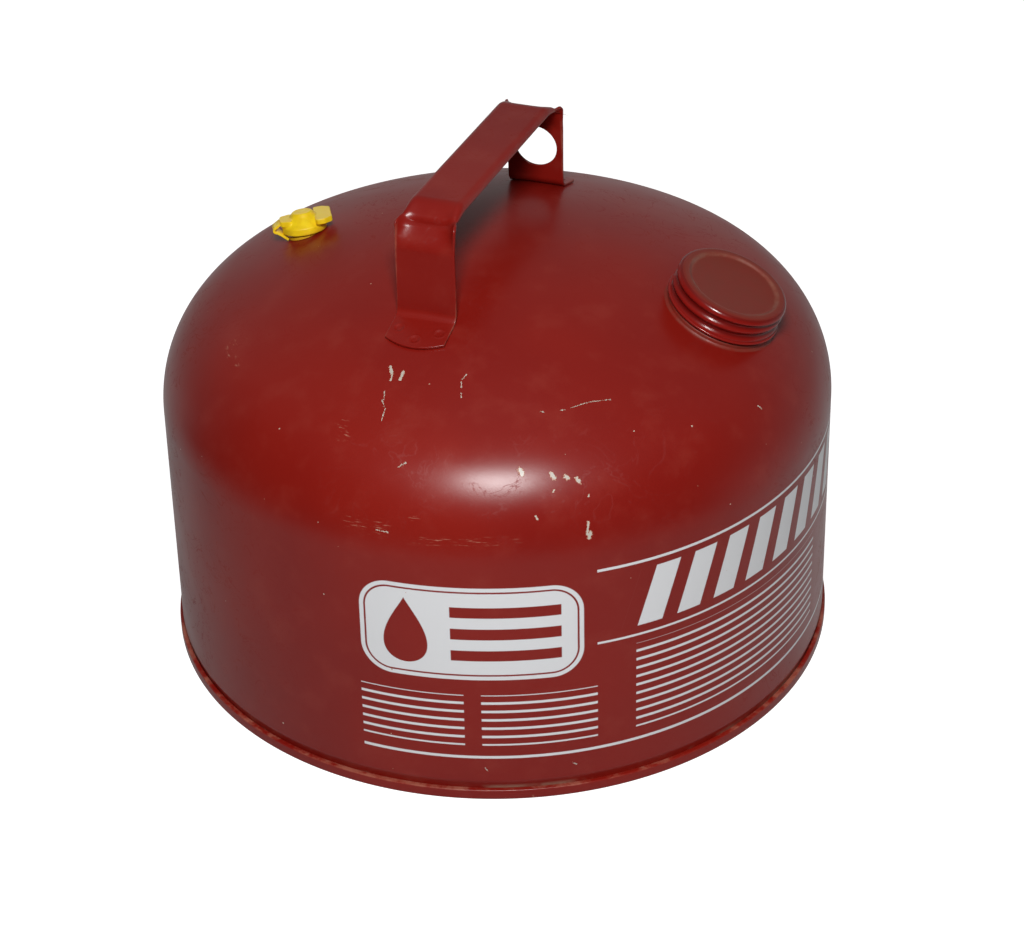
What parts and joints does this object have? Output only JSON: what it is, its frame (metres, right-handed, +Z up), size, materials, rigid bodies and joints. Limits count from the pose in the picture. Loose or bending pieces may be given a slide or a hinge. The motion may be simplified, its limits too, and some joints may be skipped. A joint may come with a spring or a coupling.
{
  "type": "fuel can",
  "caption": "Low round steel fuel can with a domed top, a strap handle, a threaded cap on a tilted neck and a flip-up plastic vent.",
  "frame": {"origin": "centre of the circle that the bottom rim stands on, at the height of the floor", "axes": "+Z up; +X towards the filler neck; +Y towards the handle's leg that has the round hole; the vent is on the -X side"},
  "size_m": [0.2908, 0.2908, 0.2202],
  "materials": {
    "red_paint": "satin red enamel on steel sheet, scuffed",
    "cap_paint": "satin red enamel, a little dustier than the body",
    "yellow_plastic": "semi-matt moulded yellow plastic",
    "gasket_rubber": "matt black",
    "seam_compound": "matt grey",
    "solder": "painted over with the body"
  },
  "bodies": {
    "can": {"body_shell": "red_paint", "bottom_pan": "red_paint", "seam_compound": "seam_compound", "handle_strap": "red_paint", "filler_neck": "red_paint", "neck_solder": "solder", "vent_bush": "yellow_plastic", "vent_hinge_strap": "yellow_plastic"},
    "gasket": {"cap_gasket": "gasket_rubber"},
    "screw_cap": {"filler_cap": "cap_paint"},
    "vent_flap": {"vent_cap": "yellow_plastic"}
  },
  "joints": [
    {"name": "filler_cap_lift", "type": "slide", "parent": "can", "child": "gasket", "axis": [0.3756, 0, 0.9268], "range_m": [0, 0.018]},
    {"name": "filler_cap_turn", "type": "hinge", "parent": "gasket", "child": "screw_cap", "pos_m": [0.0987, 0, 0.16398], "axis": [0.3756, 0, 0.9268], "range_deg": [0, 1440]},
    {"name": "vent_flap_hinge", "type": "hinge", "parent": "can", "child": "vent_flap", "pos_m": [-0.09815, -0.0048, 0.17138], "axis": [0.4771, -0.8622, 0.1701], "range_deg": [0, 135], "deforming": ["vent_hinge_strap"]}
  ],
  "couplings": [
    {"joint": "filler_cap_turn", "follows": "filler_cap_lift", "rad_per_m": 1396.3}
  ]
}
